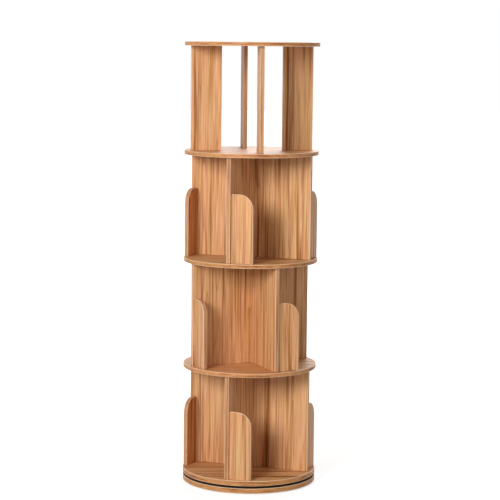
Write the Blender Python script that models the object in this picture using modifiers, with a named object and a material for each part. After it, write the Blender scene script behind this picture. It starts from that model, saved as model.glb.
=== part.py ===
"""Round revolving bookcase with four open tiers, standing on a ball turntable.

Five round shelves, pinwheel dividers and low stops make one carousel, which turns on a
base disc through a bearing of two grooved rings and a row of caged balls. Metres, +Z up,
with the floor at Z = 0 and the axis of rotation on Z. In its own frame a divider points
outwards along +X, carries its stop on its +Y face, and stands on its tier's floor at Z = 0.
The connector screws are one with the divider that they bite in, and the dowels with the
stop that they are glued in.
"""

from collections import namedtuple
from math import cos, pi, radians, sin, sqrt

import bmesh
import bpy
from mathutils import Matrix, Vector

# Round boards
SHELF_DIAMETER = 0.400
SHELF_THICKNESS = 0.012
BOTTOM_SHELF_THICKNESS = 0.015
BASE_DIAMETER = 0.400
BASE_THICKNESS = 0.015
DISC_FACETS = 72

# Tiers, counted from the floor, and how far each pinwheel is turned, in degrees
TIER_CLEAR_HEIGHT = 0.308
FULL_TIER_COUNT = 3
FIRST_TIER_TURN = -22.2
TIER_STAGGER = 45.0
TOP_TIER_TURN = 5.7

# Dividers, measured outwards from the axis; four of them make the right-angled pinwheel
DIVIDERS_PER_TIER = 4
DIVIDER_THICKNESS = 0.012
DIVIDER_REACH = 0.190
SHORT_DIVIDER_START = 0.092
SHORT_DIVIDER_REACH = 0.183
SHORT_DIVIDER_OFFSET = 0.005

# Stops on the faces of the full dividers
STOP_WIDTH = 0.068
STOP_HEIGHT = 0.202
STOP_THICKNESS = 0.012
STOP_CORNER_RADIUS = 0.042
STOP_SETBACK = 0.0085
CORNER_STEPS = 8

# Connector screws through the shelves into the ends of the dividers
SCREW_LENGTH = 0.050
SCREW_SHANK_DIAMETER = 0.005
SCREW_HEAD_DIAMETER = 0.010
SCREW_HEAD_HEIGHT = 0.0035
SCREW_INNER_REACH = 0.045
SCREW_OUTER_INSET = 0.040
SHORT_SCREW_INSET = 0.020

# Dowels between the stops and the dividers
DOWEL_DIAMETER = 0.006
DOWEL_LENGTH = 0.028
DOWEL_DEPTH_IN_DIVIDER = 0.008
DOWEL_INSET = 0.050

# Turntable bearing between the base and the bottom shelf
TURNTABLE_GAP = 0.007
BALL_CIRCLE_DIAMETER = 0.280
BALL_DIAMETER = 0.004
BALL_COUNT = 12
RACE_GAP = 0.002
RING_WIDTH = 0.014
CAGE_THICKNESS = 0.0012
CAGE_FLOOR_GAP = 0.0005
CAGE_RISE = 0.001

# Screws of the two rings
RING_SCREW_COUNT = 3
RING_SCREW_INSET = 0.006
RING_SCREW_SHANK_DIAMETER = 0.004
RING_SCREW_HEAD_DIAMETER = 0.0075
RING_SCREW_HEAD_HEIGHT = 0.0022
OUTER_SCREW_BITE = 0.004
INNER_SCREW_BITE = 0.010

# Pads under the base
PAD_COUNT = 5
PAD_DIAMETER = 0.030
PAD_INSET = 0.025
FLOOR_CLEARANCE = 0.003

# Clearances, and the facets of small round things
FIT_GAP = 0.0003
RUNNING_GAP = 0.0003
HEAD_SINK = 0.0003
DRILL_SPARE = 0.0005
CUT_MARGIN = 0.001
FASTENER_FACETS = 8
DOWEL_FACETS = 8
PILOT_FACETS = 6
POCKET_FACETS = 12
PAD_FACETS = 16
MERGE_DISTANCE = 0.00001

# Heights and radii that follow from the sizes above
SHELF_RADIUS = SHELF_DIAMETER / 2
BASE_RADIUS = BASE_DIAMETER / 2
BALL_RADIUS = BALL_DIAMETER / 2
BALL_CIRCLE_RADIUS = BALL_CIRCLE_DIAMETER / 2
BASE_TOP = FLOOR_CLEARANCE + BASE_THICKNESS
BOTTOM_SHELF_UNDERSIDE = BASE_TOP + TURNTABLE_GAP
FIRST_FLOOR = BOTTOM_SHELF_UNDERSIDE + BOTTOM_SHELF_THICKNESS
TIER_PITCH = TIER_CLEAR_HEIGHT + SHELF_THICKNESS
STOP_CENTRE = DIVIDER_REACH - STOP_SETBACK - STOP_THICKNESS / 2
RACE_HEIGHT = BASE_TOP + TURNTABLE_GAP / 2
RACE_DEPTH = (BALL_RADIUS + RUNNING_GAP) * sqrt(2) - RACE_GAP / 2
RACE_FOOT = RACE_HEIGHT - RACE_DEPTH
RACE_TOP = RACE_HEIGHT + RACE_DEPTH
OUTER_RING_INSIDE = BALL_CIRCLE_RADIUS + RACE_GAP / 2
OUTER_RING_OUTSIDE = OUTER_RING_INSIDE + RING_WIDTH
OUTER_RING_FOOT = BASE_TOP + FIT_GAP
INNER_RING_OUTSIDE = BALL_CIRCLE_RADIUS - RACE_GAP / 2
INNER_RING_INSIDE = INNER_RING_OUTSIDE - RING_WIDTH
INNER_RING_TOP = BOTTOM_SHELF_UNDERSIDE - FIT_GAP

DividerKind = namedtuple("DividerKind", "start reach offset screw_reaches")
Tier = namedtuple("Tier", "floor turn kind")
Screw = namedtuple("Screw", "length shank_diameter head_diameter head_height")

# A full divider starts where the next one's face lies, so that the four close the middle
FULL = DividerKind(
    start=FIT_GAP,
    reach=DIVIDER_REACH,
    offset=0,
    screw_reaches=(SCREW_INNER_REACH, DIVIDER_REACH - SCREW_OUTER_INSET),
)
SHORT = DividerKind(
    start=SHORT_DIVIDER_START,
    reach=SHORT_DIVIDER_REACH,
    offset=SHORT_DIVIDER_OFFSET,
    screw_reaches=(SHORT_DIVIDER_START + SHORT_SCREW_INSET, SHORT_DIVIDER_REACH - SHORT_SCREW_INSET),
)
CONNECTOR_SCREW = Screw(SCREW_LENGTH, SCREW_SHANK_DIAMETER, SCREW_HEAD_DIAMETER, SCREW_HEAD_HEIGHT)
OUTER_RING_SCREW = Screw(
    BASE_THICKNESS + FIT_GAP + OUTER_SCREW_BITE - HEAD_SINK,
    RING_SCREW_SHANK_DIAMETER,
    RING_SCREW_HEAD_DIAMETER,
    RING_SCREW_HEAD_HEIGHT,
)
INNER_RING_SCREW = Screw(
    BOTTOM_SHELF_UNDERSIDE - RACE_FOOT + INNER_SCREW_BITE - HEAD_SINK,
    RING_SCREW_SHANK_DIAMETER,
    RING_SCREW_HEAD_DIAMETER,
    RING_SCREW_HEAD_HEIGHT,
)


def tier_list():
    """The full tiers from the floor up, each turned against the last, then the open top tier."""
    tiers = []
    for index in range(FULL_TIER_COUNT):
        turn = FIRST_TIER_TURN + TIER_STAGGER * (index % 2)
        tiers.append(Tier(FIRST_FLOOR + index * TIER_PITCH, turn, FULL))
    tiers.append(Tier(FIRST_FLOOR + FULL_TIER_COUNT * TIER_PITCH, TOP_TIER_TURN, SHORT))
    return tiers


def arm_angle(tier, arm):
    """The angle about Z at which a divider of the tier points outwards."""
    return radians(tier.turn - 90 + 360 / DIVIDERS_PER_TIER * arm)


def around(count, radius, height, first_angle=0.0):
    """Points evenly spaced on a circle about the axis."""
    angles = [first_angle + 2 * pi * index / count for index in range(count)]
    return [Vector((radius * cos(angle), radius * sin(angle), height)) for angle in angles]


def hole_radius(shaft_diameter, facets):
    """The radius of a faceted hole whose flats still clear the shaft."""
    return (shaft_diameter / 2 + FIT_GAP) / cos(pi / facets)


# Scene, materials and objects


def clear_scene():
    for obj in list(bpy.data.objects):
        bpy.data.objects.remove(obj, do_unlink=True)


def make_collection(name):
    collection = bpy.data.collections.new(name)
    bpy.context.scene.collection.children.link(collection)
    return collection


def make_material(name, colour, roughness, metallic=0.0):
    material = bpy.data.materials.new(name)
    material.use_nodes = True
    shader = material.node_tree.nodes["Principled BSDF"]
    shader.inputs["Base Color"].default_value = (*colour, 1.0)
    shader.inputs["Roughness"].default_value = roughness
    shader.inputs["Metallic"].default_value = metallic
    return material


def make_axis(name):
    """An empty on the axis of rotation, which carries what turns together."""
    axis = bpy.data.objects.new(name, None)
    axis.location = (0, 0, RACE_HEIGHT)
    axis.empty_display_size = SHELF_RADIUS
    PARTS.objects.link(axis)
    return axis


def add_part(name, mesh, material, axis=None):
    """A named piece; one that turns is parented to its axis, and keeps its place in the world."""
    part = bpy.data.objects.new(name, mesh)
    if not mesh.materials:
        mesh.materials.append(material)
    PARTS.objects.link(part)
    if axis:
        part.parent = axis
        part.matrix_parent_inverse = Matrix.Translation(-axis.location)
    return part


def cut(part, tool):
    """Cut the tool out of a part; it may hold several separate shapes."""
    cutter = bpy.data.objects.new(f"{part.name}_cutter", tool)
    cutter.hide_render = True
    cutter.display_type = "WIRE"
    CUTTERS.objects.link(cutter)
    boolean = part.modifiers.new("Holes", "BOOLEAN")
    boolean.operation = "DIFFERENCE"
    boolean.solver = "EXACT"
    boolean.object = cutter


# Shapes


def mesh_from(shape, name):
    mesh = bpy.data.meshes.new(name)
    shape.to_mesh(mesh)
    shape.free()
    return mesh


def evaluated(source, modify=None):
    """The mesh of an object's data, after the modifiers that modify() adds."""
    obj = bpy.data.objects.new("blank", source)
    CUTTERS.objects.link(obj)
    if modify:
        modify(obj)
    graph = bpy.context.evaluated_depsgraph_get()
    graph.update()
    mesh = bpy.data.meshes.new_from_object(obj.evaluated_get(graph))
    bpy.data.objects.remove(obj, do_unlink=True)
    return mesh


def combined(operation, blank, tool):
    """Two meshes joined by UNION, or the second cut out of the first by DIFFERENCE."""
    other = bpy.data.objects.new("tool", tool)
    CUTTERS.objects.link(other)

    def add_boolean(obj):
        boolean = obj.modifiers.new("Combine", "BOOLEAN")
        boolean.operation = operation
        boolean.solver = "EXACT"
        boolean.object = other

    mesh = evaluated(blank, add_boolean)
    bpy.data.objects.remove(other, do_unlink=True)
    return mesh


def box(low, high):
    """A board between two corners."""
    low, high = Vector(low), Vector(high)
    shape = bmesh.new()
    bmesh.ops.create_cube(shape, size=1, matrix=Matrix.LocRotScale((low + high) / 2, None, high - low))
    return mesh_from(shape, "board")


def cylinder(radius, bottom, top, facets):
    """An upright cylinder on the axis."""
    shape = bmesh.new()
    middle = Matrix.Translation((0, 0, (bottom + top) / 2))
    bmesh.ops.create_cone(
        shape, cap_ends=True, segments=facets, radius1=radius, radius2=radius, depth=top - bottom, matrix=middle
    )
    return mesh_from(shape, "cylinder")


def turned(profile, facets, closed=False):
    """A turned shape: the profile of (radius, height) points runs down its outer side."""
    edges = [(index, index + 1) for index in range(len(profile) - 1)]
    if closed:
        edges.append((len(profile) - 1, 0))
    outline = bpy.data.meshes.new("profile")
    outline.from_pydata([(radius, 0, height) for radius, height in profile], edges, [])

    def add_screw(obj):
        screw = obj.modifiers.new("Turn", "SCREW")
        screw.steps = facets
        screw.render_steps = facets
        screw.use_merge_vertices = True
        screw.merge_threshold = MERGE_DISTANCE

    return evaluated(outline, add_screw)


def group(piece, places):
    """Separate copies of one shape in a single mesh, one at each place."""
    shape = bmesh.new()
    for place in places:
        first = len(shape.verts)
        shape.from_mesh(piece)
        shape.verts.ensure_lookup_table()
        bmesh.ops.transform(shape, matrix=place, verts=shape.verts[first:])
    return mesh_from(shape, piece.name)


def together(*pieces):
    """Several shapes in a single mesh, each where it is."""
    shape = bmesh.new()
    for piece in pieces:
        shape.from_mesh(piece)
    return mesh_from(shape, pieces[0].name)


# Screws lie along their own Z: the head's top is at Z = 0 and the tip points down


def screw_mesh(screw):
    """A countersunk screw with a pointed tip."""
    shank = screw.shank_diameter / 2
    profile = [
        (0, 0),
        (screw.head_diameter / 2, 0),
        (shank, -screw.head_height),
        (shank, shank - screw.length),
        (0, -screw.length),
    ]
    return turned(profile, FASTENER_FACETS)


def screw_hole(screw, depth):
    """The countersunk hole for that screw through a board whose face is at Z = 0."""
    head = hole_radius(screw.head_diameter, FASTENER_FACETS)
    shank = hole_radius(screw.shank_diameter, FASTENER_FACETS)
    flare = (head - shank) / screw.head_height
    profile = [
        (0, CUT_MARGIN),
        (head + flare * (HEAD_SINK + CUT_MARGIN), CUT_MARGIN),
        (shank, -HEAD_SINK - screw.head_height),
        (shank, -depth - CUT_MARGIN),
        (0, -depth - CUT_MARGIN),
    ]
    return turned(profile, FASTENER_FACETS)


def pilot_hole(screw, start, depth):
    """The blind hole that the screw's shank bites in, from start to a little past its tip."""
    radius = hole_radius(screw.shank_diameter, PILOT_FACETS)
    return cylinder(radius, -depth, CUT_MARGIN - start, PILOT_FACETS)


def upward(place, sink=0.0):
    """The place of a screw that is driven upwards, with its head sunk below the face."""
    return Matrix.Translation(place + Vector((0, 0, sink))) @ Matrix.Rotation(pi, 4, "X")


def downward(place, sink=0.0):
    """The place of a screw that is driven downwards, with its head sunk below the face."""
    return Matrix.Translation(place - Vector((0, 0, sink)))


# Dividers and stops


def end_screws(kind, shelf_below):
    """The connector screws in both ends of a divider, with their heads in the shelves."""
    screw = screw_mesh(CONNECTOR_SCREW)
    places = []
    for reach in kind.screw_reaches:
        middle = kind.offset + DIVIDER_THICKNESS / 2
        places.append(upward(Vector((reach, middle, -shelf_below)), HEAD_SINK))
        places.append(downward(Vector((reach, middle, TIER_CLEAR_HEIGHT + SHELF_THICKNESS)), HEAD_SINK))
    return group(screw, places)


def stop_dowels():
    """The places of a stop's dowels, from the divider's face along +Y."""
    along_y = Matrix.Rotation(-pi / 2, 4, "X")
    heights = (DOWEL_INSET, STOP_HEIGHT - DOWEL_INSET)
    return [Matrix.Translation((STOP_CENTRE, DIVIDER_THICKNESS, height)) @ along_y for height in heights]


def divider_mesh(kind, shelf_below):
    """An upright board with its connector screws and, on a full divider, holes for the dowels."""
    low = (kind.start, kind.offset, FIT_GAP)
    high = (kind.reach, kind.offset + DIVIDER_THICKNESS, TIER_CLEAR_HEIGHT - FIT_GAP)
    mesh = combined("UNION", box(low, high), end_screws(kind, shelf_below))
    if kind is FULL:
        radius = hole_radius(DOWEL_DIAMETER, DOWEL_FACETS)
        hole = cylinder(radius, -DOWEL_DEPTH_IN_DIVIDER - FIT_GAP, CUT_MARGIN, DOWEL_FACETS)
        mesh = combined("DIFFERENCE", mesh, group(hole, stop_dowels()))
    return mesh


def stop_outline():
    """Half a tombstone: square at the divider and below, one large round corner at the top."""
    width = STOP_WIDTH - FIT_GAP
    height = STOP_HEIGHT - FIT_GAP
    radius = STOP_CORNER_RADIUS
    outline = [(0, height), (0, 0), (width, 0)]
    for step in range(CORNER_STEPS + 1):
        angle = pi / 2 * step / CORNER_STEPS
        outline.append((width - radius + radius * cos(angle), height - radius + radius * sin(angle)))
    return outline


def stop_mesh():
    """The stop on the divider's +Y face, with its two dowels glued in."""
    outline = stop_outline()
    curve = bpy.data.curves.new("book_stop", "CURVE")
    curve.dimensions = "2D"
    curve.fill_mode = "BOTH"
    curve.extrude = STOP_THICKNESS / 2
    spline = curve.splines.new("POLY")
    spline.points.add(len(outline) - 1)
    for point, (across, up) in zip(spline.points, outline):
        point.co = (across, up, 0, 1)
    spline.use_cyclic_u = True
    plate = evaluated(curve)
    bpy.data.curves.remove(curve)

    # The flat plate is stood up: its width runs along +Y, and its thickness along +X
    shape = bmesh.new()
    shape.from_mesh(plate)
    bmesh.ops.remove_doubles(shape, verts=shape.verts, dist=MERGE_DISTANCE)
    corner = Matrix.Translation((STOP_CENTRE, DIVIDER_THICKNESS + FIT_GAP, FIT_GAP))
    stand = Matrix.Rotation(pi / 2, 4, "Z") @ Matrix.Rotation(pi / 2, 4, "X")
    bmesh.ops.transform(shape, matrix=corner @ stand, verts=shape.verts)
    standing = mesh_from(shape, "book_stop")

    past_joint = DOWEL_LENGTH - DOWEL_DEPTH_IN_DIVIDER
    dowel = cylinder(DOWEL_DIAMETER / 2, -DOWEL_DEPTH_IN_DIVIDER, past_joint, DOWEL_FACETS)
    return combined("UNION", standing, group(dowel, stop_dowels()))


def add_uprights(tiers, material, carousel):
    """The dividers of every tier, each with its stop in a full tier."""
    stop = stop_mesh()
    above_bottom_shelf = divider_mesh(FULL, BOTTOM_SHELF_THICKNESS)
    above_shelf = divider_mesh(FULL, SHELF_THICKNESS)
    short = divider_mesh(SHORT, SHELF_THICKNESS)
    for number, tier in enumerate(tiers, start=1):
        for arm in range(DIVIDERS_PER_TIER):
            if tier.kind is SHORT:
                pieces = {f"short_divider_{arm + 1}": short}
            else:
                divider = above_bottom_shelf if number == 1 else above_shelf
                pieces = {f"divider_{number}_{arm + 1}": divider, f"book_stop_{number}_{arm + 1}": stop}
            for name, mesh in pieces.items():
                piece = add_part(name, mesh, material, carousel)
                piece.location = (0, 0, tier.floor)
                piece.rotation_euler = (0, 0, arm_angle(tier, arm))


# Shelves


def screw_places(tier, height):
    """Points over the screws of a tier's dividers, at one height."""
    places = []
    for arm in range(DIVIDERS_PER_TIER):
        turn = Matrix.Rotation(arm_angle(tier, arm), 4, "Z")
        for reach in tier.kind.screw_reaches:
            places.append(turn @ Vector((reach, tier.kind.offset + DIVIDER_THICKNESS / 2, height)))
    return places


def add_shelves(tiers, material, carousel):
    """The shelves, each screwed up into the dividers above it and down into those below."""
    names = ["bottom_shelf"] + [f"shelf_{number}" for number in range(2, len(tiers) + 1)] + ["top_board"]
    for index, name in enumerate(names):
        thickness = SHELF_THICKNESS if index else BOTTOM_SHELF_THICKNESS
        top = FIRST_FLOOR + index * TIER_PITCH
        bottom = top - thickness
        shelf = add_part(name, cylinder(SHELF_RADIUS, bottom, top, DISC_FACETS), material, carousel)
        places = []
        if name != "top_board":
            places += [upward(point) for point in screw_places(tiers[index], bottom)]
        if name != "bottom_shelf":
            places += [downward(point) for point in screw_places(tiers[index - 1], top)]
        tool = group(screw_hole(CONNECTOR_SCREW, thickness), places)
        if name == "bottom_shelf":
            start = BOTTOM_SHELF_UNDERSIDE - RACE_FOOT
            pilot = pilot_hole(INNER_RING_SCREW, start, start + INNER_SCREW_BITE + DRILL_SPARE)
            tool = together(tool, group(pilot, [upward(point) for point in inner_screw_points()]))
        cut(shelf, tool)


# Turntable bearing


def outer_screw_points():
    """Where the screws of the outer ring enter the underside of the base disc."""
    radius = OUTER_RING_OUTSIDE - RING_SCREW_INSET
    return around(RING_SCREW_COUNT, radius, FLOOR_CLEARANCE)


def inner_screw_points():
    """Where the screws of the inner ring enter its underside, between those of the outer ring."""
    radius = INNER_RING_INSIDE + RING_SCREW_INSET
    return around(RING_SCREW_COUNT, radius, RACE_FOOT, pi / RING_SCREW_COUNT)


def add_outer_ring(material):
    """The still ring, whose groove opens inwards."""
    profile = [
        (OUTER_RING_OUTSIDE, RACE_TOP),
        (OUTER_RING_OUTSIDE, OUTER_RING_FOOT),
        (OUTER_RING_INSIDE, OUTER_RING_FOOT),
        (OUTER_RING_INSIDE, RACE_FOOT),
        (OUTER_RING_INSIDE + RACE_DEPTH, RACE_HEIGHT),
        (OUTER_RING_INSIDE, RACE_TOP),
    ]
    ring = add_part("turntable_outer_ring", turned(profile, DISC_FACETS, closed=True), material)
    start = OUTER_RING_FOOT - FLOOR_CLEARANCE
    pilot = pilot_hole(OUTER_RING_SCREW, start, start + OUTER_SCREW_BITE + DRILL_SPARE)
    cut(ring, group(pilot, [upward(point) for point in outer_screw_points()]))


def add_inner_ring(material, carousel):
    """The turning ring, whose groove opens outwards."""
    profile = [
        (INNER_RING_OUTSIDE, INNER_RING_TOP),
        (INNER_RING_OUTSIDE, RACE_TOP),
        (INNER_RING_OUTSIDE - RACE_DEPTH, RACE_HEIGHT),
        (INNER_RING_OUTSIDE, RACE_FOOT),
        (INNER_RING_INSIDE, RACE_FOOT),
        (INNER_RING_INSIDE, INNER_RING_TOP),
    ]
    ring = add_part("turntable_inner_ring", turned(profile, DISC_FACETS, closed=True), material, carousel)
    hole = screw_hole(INNER_RING_SCREW, INNER_RING_TOP - RACE_FOOT)
    cut(ring, group(hole, [upward(point) for point in inner_screw_points()]))


def add_ring_screws(name, screw, points, material, axis=None):
    mesh = screw_mesh(screw)
    for number, point in enumerate(points, start=1):
        part = add_part(f"{name}_{number}", mesh, material, axis)
        part.location = point + Vector((0, 0, HEAD_SINK))
        part.rotation_euler = (pi, 0, 0)


def add_balls(cage_material, ball_material):
    """The balls and the crown cage that spaces them; both go round at half the carousel's speed."""
    axis = make_axis("ball_axis")
    inside = BALL_CIRCLE_RADIUS - CAGE_THICKNESS / 2
    outside = BALL_CIRCLE_RADIUS + CAGE_THICKNESS / 2
    foot = BASE_TOP + CAGE_FLOOR_GAP
    top = RACE_HEIGHT + CAGE_RISE
    profile = [(outside, top), (outside, foot), (inside, foot), (inside, top)]
    cage = add_part("ball_cage", turned(profile, DISC_FACETS, closed=True), cage_material, axis)

    half_pocket = CAGE_THICKNESS / 2 + CUT_MARGIN
    pocket = cylinder(BALL_RADIUS + RUNNING_GAP, -half_pocket, half_pocket, POCKET_FACETS)
    along_x = Matrix.Rotation(pi / 2, 4, "Y")
    places = []
    for index in range(BALL_COUNT):
        turn = Matrix.Rotation(2 * pi * index / BALL_COUNT, 4, "Z")
        places.append(turn @ Matrix.Translation((BALL_CIRCLE_RADIUS, 0, RACE_HEIGHT)) @ along_x)
    cut(cage, group(pocket, places))

    shape = bmesh.new()
    bmesh.ops.create_icosphere(shape, subdivisions=2, radius=BALL_RADIUS)
    ball = mesh_from(shape, "ball")
    ball.shade_smooth()
    for number, point in enumerate(around(BALL_COUNT, BALL_CIRCLE_RADIUS, RACE_HEIGHT), start=1):
        add_part(f"turntable_ball_{number}", ball, ball_material, axis).location = point


# Base


def add_base(board_material, pad_material):
    """The round board on the floor, with its rubber pads."""
    disc = add_part("base_disc", cylinder(BASE_RADIUS, FLOOR_CLEARANCE, BASE_TOP, DISC_FACETS), board_material)
    hole = screw_hole(OUTER_RING_SCREW, BASE_THICKNESS)
    cut(disc, group(hole, [upward(point) for point in outer_screw_points()]))
    pad = cylinder(PAD_DIAMETER / 2, 0, FLOOR_CLEARANCE - FIT_GAP, PAD_FACETS)
    for number, point in enumerate(around(PAD_COUNT, BASE_RADIUS - PAD_INSET, 0, pi / 2), start=1):
        add_part(f"floor_pad_{number}", pad, pad_material).location = point


def build():
    board = make_material("oak_effect_board", (0.62, 0.33, 0.14), 0.45)
    zinc = make_material("zinc_screw", (0.55, 0.55, 0.53), 0.35, 1.0)
    aluminium = make_material("turntable_aluminium", (0.62, 0.63, 0.64), 0.4, 1.0)
    steel = make_material("bearing_steel", (0.75, 0.75, 0.76), 0.15, 1.0)
    nylon = make_material("cage_nylon", (0.80, 0.78, 0.70), 0.5)
    rubber = make_material("black_rubber", (0.02, 0.02, 0.02), 0.8)

    tiers = tier_list()
    carousel = make_axis("carousel_axis")
    add_base(board, rubber)
    add_outer_ring(aluminium)
    add_ring_screws("outer_ring_screw", OUTER_RING_SCREW, outer_screw_points(), zinc)
    add_balls(nylon, steel)
    add_inner_ring(aluminium, carousel)
    add_ring_screws("inner_ring_screw", INNER_RING_SCREW, inner_screw_points(), zinc, carousel)
    add_shelves(tiers, board, carousel)
    add_uprights(tiers, board, carousel)


clear_scene()
PARTS = make_collection("Revolving bookcase")
CUTTERS = make_collection("Cutters")
build()
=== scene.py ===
"""Looks of a round revolving bookcase: wood-effect boards screwed together on a ball turntable.

Metres, +Z up, with the axis of rotation on Z and the viewer towards -Y. The sections follow the
bookcase from the floor up, in the order in which it is put together.
"""

from math import atan2, cos, pi, radians, sin

import bpy
from mathutils import Matrix, Vector


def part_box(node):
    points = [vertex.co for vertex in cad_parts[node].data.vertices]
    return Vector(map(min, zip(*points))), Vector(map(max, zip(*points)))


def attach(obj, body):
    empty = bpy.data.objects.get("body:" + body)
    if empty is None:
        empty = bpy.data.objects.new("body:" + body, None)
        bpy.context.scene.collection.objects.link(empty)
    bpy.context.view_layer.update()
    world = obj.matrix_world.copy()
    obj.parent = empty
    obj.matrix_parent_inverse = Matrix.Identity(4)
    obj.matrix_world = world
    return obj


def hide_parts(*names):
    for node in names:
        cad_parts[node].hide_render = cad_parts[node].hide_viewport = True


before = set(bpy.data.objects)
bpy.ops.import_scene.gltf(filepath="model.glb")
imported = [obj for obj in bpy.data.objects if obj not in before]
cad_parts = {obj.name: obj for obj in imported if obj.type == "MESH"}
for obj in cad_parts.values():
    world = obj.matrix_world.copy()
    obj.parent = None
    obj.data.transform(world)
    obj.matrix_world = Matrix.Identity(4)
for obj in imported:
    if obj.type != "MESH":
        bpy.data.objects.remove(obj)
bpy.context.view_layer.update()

# Base disc: a round chipboard panel with a satin wood-effect film, 15 mm thick, cut on a
# router, eased at both arrises and banded round its edge. It lies still on the floor, and three
# countersunk holes in its underside take the screws of the turntable.
RIM_STEPS = 256
ARRIS = 0.0014
ARRIS_STEPS = 3
HAIR = 0.00001
FACING_DOWN = -0.9
SCREW_STEPS = 32
FIT_GAP = 0.0003
CUT_MARGIN = 0.001
GRAIN_STRETCH = 0.024
RING_SCREW_COUNT = 3
RING_SCREW_INSET = 0.006
RING_SCREW_HEAD = 0.0075
RING_SCREW_SHANK = 0.004
RING_SCREW_HEAD_HEIGHT = 0.0022
HEAD_SINK = 0.0003
base_low, base_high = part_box("base_disc")
outer_ring_low, outer_ring_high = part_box("turntable_outer_ring")


def only(*pieces):
    """Leaves just these pieces selected, with the first one active."""
    bpy.ops.object.select_all(action="DESELECT")
    for piece in pieces:
        piece.select_set(True)
    bpy.context.view_layer.objects.active = pieces[0]


def begun(name):
    """The primitive just added, named, and with its place in its mesh."""
    piece = bpy.context.object
    piece.name = name
    piece.data.name = name
    only(piece)
    bpy.ops.object.transform_apply(location=True, rotation=True, scale=True)
    return piece


def edit_edges(piece, wanted):
    """Opens a piece in edit mode with the edges selected whose two ends wanted() accepts."""
    only(piece)
    bpy.ops.object.mode_set(mode="EDIT")
    bpy.ops.mesh.select_mode(type="EDGE")
    bpy.ops.mesh.select_all(action="DESELECT")
    bpy.ops.object.mode_set(mode="OBJECT")
    points = piece.data.vertices
    for edge in piece.data.edges:
        edge.select = wanted(points[edge.vertices[0]].co, points[edge.vertices[1]].co)
    bpy.ops.object.mode_set(mode="EDIT")


def edit_faces(piece, wanted):
    """Opens a piece in edit mode with the faces selected whose centre and normal wanted() accepts."""
    only(piece)
    bpy.ops.object.mode_set(mode="EDIT")
    bpy.ops.mesh.select_mode(type="FACE")
    bpy.ops.mesh.select_all(action="DESELECT")
    bpy.ops.object.mode_set(mode="OBJECT")
    for face in piece.data.polygons:
        face.select = wanted(face.center, face.normal)
    bpy.ops.object.mode_set(mode="EDIT")


def apply_modifier(piece, kind, **settings):
    """Adds a modifier with these settings and applies it."""
    only(piece)
    modifier = piece.modifiers.new(kind.title(), kind)
    for setting, value in settings.items():
        setattr(modifier, setting, value)
    bpy.ops.object.modifier_apply(modifier=modifier.name)


def extruded(name, sections, steps):
    """A round shape on the Z axis: a cone between its first two (radius, height) sections, whose
    lower face is extruded and resized down through the others."""
    (top_radius, top), (low_radius, low) = sections[:2]
    bpy.ops.mesh.primitive_cone_add(
        vertices=steps,
        radius1=low_radius,
        radius2=top_radius,
        depth=top - low,
        location=(0, 0, (top + low) / 2),
    )
    piece = begun(name)
    for (radius, height), (last_radius, last_height) in zip(sections[2:], sections[1:]):
        edit_faces(
            piece,
            lambda centre, normal: normal.z < FACING_DOWN and abs(centre.z - last_height) < HAIR,
        )
        bpy.ops.mesh.extrude_region_move(TRANSFORM_OT_translate={"value": (0, 0, height - last_height)})
        bpy.ops.transform.resize(value=(radius / last_radius, radius / last_radius, 1))
        bpy.ops.object.mode_set(mode="OBJECT")
    return piece


def copy_to(piece, place, name):
    """A copy of a piece with its own mesh, moved by the matrix place."""
    only(piece)
    bpy.ops.object.duplicate(linked=False)
    copy = bpy.context.object
    copy.matrix_world = place
    bpy.ops.object.transform_apply(location=True, rotation=True, scale=True)
    copy.name = name
    copy.data.name = name
    return copy


def joined(name, pieces):
    """Several pieces made one."""
    only(*pieces)
    bpy.ops.object.join()
    piece = bpy.context.object
    piece.name = name
    piece.data.name = name
    return piece


def drill(board, hole, places):
    """Cuts copies of one hole shape out of a board, and removes the shape."""
    cutter = joined("drill", [copy_to(hole, place, "drill") for place in places])
    apply_modifier(board, "BOOLEAN", operation="DIFFERENCE", solver="EXACT", object=cutter)
    bpy.data.objects.remove(cutter)
    bpy.data.objects.remove(hole)


def screw_hole(head, shank, head_height, depth):
    """A countersunk hole through a board that is depth thick, with the board's face at Z = 0."""
    flare = (head - shank) / 2 / head_height
    mouth = head / 2 + FIT_GAP
    sections = [
        (mouth + flare * (HEAD_SINK + CUT_MARGIN), CUT_MARGIN),
        (shank / 2 + FIT_GAP, -HEAD_SINK - head_height),
        (shank / 2 + FIT_GAP, -depth - CUT_MARGIN),
    ]
    return extruded("hole", sections, SCREW_STEPS)


def around(count, radius, height, first_angle=0.0):
    """Places evenly spaced on a circle about the axis."""
    angles = [first_angle + 2 * pi * index / count for index in range(count)]
    return [Matrix.Translation((radius * cos(angle), radius * sin(angle), height)) for angle in angles]


def upwards(places):
    """The same places turned over, for what is driven in from below."""
    return [place @ Matrix.Rotation(pi, 4, "X") for place in places]


def round_board(node, name):
    """A round panel at a node's place and size, with its two arrises eased."""
    low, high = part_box(node)
    bpy.ops.mesh.primitive_cylinder_add(
        vertices=RIM_STEPS, radius=high.x, depth=high.z - low.z, location=(0, 0, (low.z + high.z) / 2)
    )
    board = begun(name)
    edit_edges(board, lambda a, b: abs(a.z - b.z) < HAIR)
    bpy.ops.mesh.bevel(offset=ARRIS, segments=ARRIS_STEPS)
    bpy.ops.object.mode_set(mode="OBJECT")
    return board


def add_node(tree, kind, settings=None, **inputs):
    """A shader node with its settings, and with values or links for its named inputs."""
    node = tree.nodes.new(kind)
    for setting, value in (settings or {}).items():
        setattr(node, setting, value)
    for label, value in inputs.items():
        socket = node.inputs[label.replace("_", " ")] if isinstance(label, str) else node.inputs[label]
        if isinstance(value, bpy.types.NodeSocket):
            tree.links.new(value, socket)
        else:
            socket.default_value = value
    return node


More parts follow.
